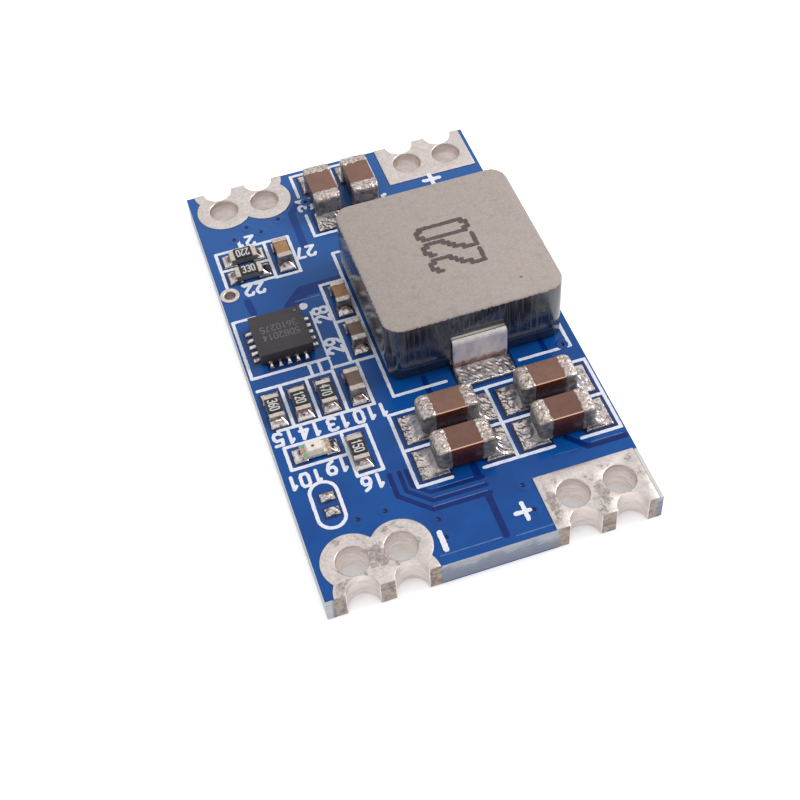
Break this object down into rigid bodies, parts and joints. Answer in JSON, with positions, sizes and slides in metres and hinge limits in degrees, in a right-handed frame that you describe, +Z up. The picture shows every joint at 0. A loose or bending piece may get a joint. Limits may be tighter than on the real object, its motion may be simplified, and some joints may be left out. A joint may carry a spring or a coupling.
{
  "type": "buck converter module",
  "caption": "Small blue step-down converter board with a square moulded power inductor, a leadless controller chip, chip parts and plated terminals with holes and half holes in both ends.",
  "frame": {"origin": "middle of the underside, on the plane that the lower lands rest on", "axes": "+X across the board from the negative to the positive terminals, +Y along it from the output end to the input end, +Z up from the board to the parts"},
  "size_m": [0.0178, 0.0302, 0.0057],
  "materials": {
    "mask_blue": "glossy solder mask over laminate",
    "via_metal": "masked plated copper",
    "tin_land": "dull hot-dipped tin",
    "part_land": "reflowed tin, mottled",
    "moulding": "moulded iron powder, fine grain",
    "winding_copper": "enamelled copper",
    "strip_metal": "tinned copper strip, satin",
    "controller_case": "moulded epoxy",
    "contact_metal": "plated",
    "brown_ceramic": "fired ceramic, satin",
    "tan_ceramic": "fired ceramic, satin",
    "dark_ceramic": "fired ceramic, satin",
    "cap_metal": "tinned, lumpy",
    "resistor_ceramic": "alumina",
    "resistor_metal": "tinned",
    "resistor_glaze": "black overcoat",
    "lamp_white": "white resin board",
    "lamp_resin": "clear to milky resin",
    "lamp_metal": "gold plated",
    "lamp_chip": "semiconductor chip",
    "solder": "reflowed solder, bright"
  },
  "bodies": {
    "root": {"printed_board": "mask_blue", "enable_pad": "tin_land", "vias": "via_metal", "component_lands": "part_land", "in_negative_terminal": "tin_land", "in_positive_terminal": "tin_land", "out_negative_terminal": "tin_land", "out_positive_terminal": "tin_land", "inductor_body": "moulding", "inductor_winding": "winding_copper", "inductor_front_strip": "strip_metal", "inductor_rear_strip": "strip_metal", "controller_body": "controller_case", "controller_contacts": "contact_metal", "resistor_1_body": "resistor_ceramic", "resistor_2_body": "resistor_ceramic", "resistor_3_body": "resistor_ceramic", "resistor_4_body": "resistor_ceramic", "resistor_5_body": "resistor_ceramic", "resistor_6_body": "resistor_ceramic", "resistor_1_ends": "resistor_metal", "resistor_2_ends": "resistor_metal", "resistor_3_ends": "resistor_metal", "resistor_4_ends": "resistor_metal", "resistor_5_ends": "resistor_metal", "resistor_6_ends": "resistor_metal", "resistor_coats": "resistor_glaze", "small_capacitor_1_body": "tan_ceramic", "small_capacitor_2_body": "tan_ceramic", "small_capacitor_3_body": "dark_ceramic", "small_capacitor_4_body": "dark_ceramic", "small_capacitor_1_ends": "cap_metal", "small_capacitor_2_ends": "cap_metal", "small_capacitor_3_ends": "cap_metal", "small_capacitor_4_ends": "cap_metal", "input_capacitor_1_body": "brown_ceramic", "input_capacitor_2_body": "brown_ceramic", "input_capacitor_1_ends": "cap_metal", "input_capacitor_2_ends": "cap_metal", "output_capacitor_1_body": "brown_ceramic", "output_capacitor_2_body": "brown_ceramic", "output_capacitor_3_body": "brown_ceramic", "output_capacitor_4_body": "brown_ceramic", "output_capacitor_1_ends": "cap_metal", "output_capacitor_2_ends": "cap_metal", "output_capacitor_3_ends": "cap_metal", "output_capacitor_4_ends": "cap_metal", "lamp_base": "lamp_white", "lamp_ends": "lamp_metal", "lamp_lens": "lamp_resin", "lamp_die": "lamp_chip", "controller_solder": "solder", "inductor_solder": "solder", "input_capacitor_solder": "solder", "output_capacitor_solder": "solder", "small_capacitor_solder": "solder", "resistor_solder": "solder", "lamp_solder": "solder", "jumper_solder": "solder"}
  },
  "joints": []
}
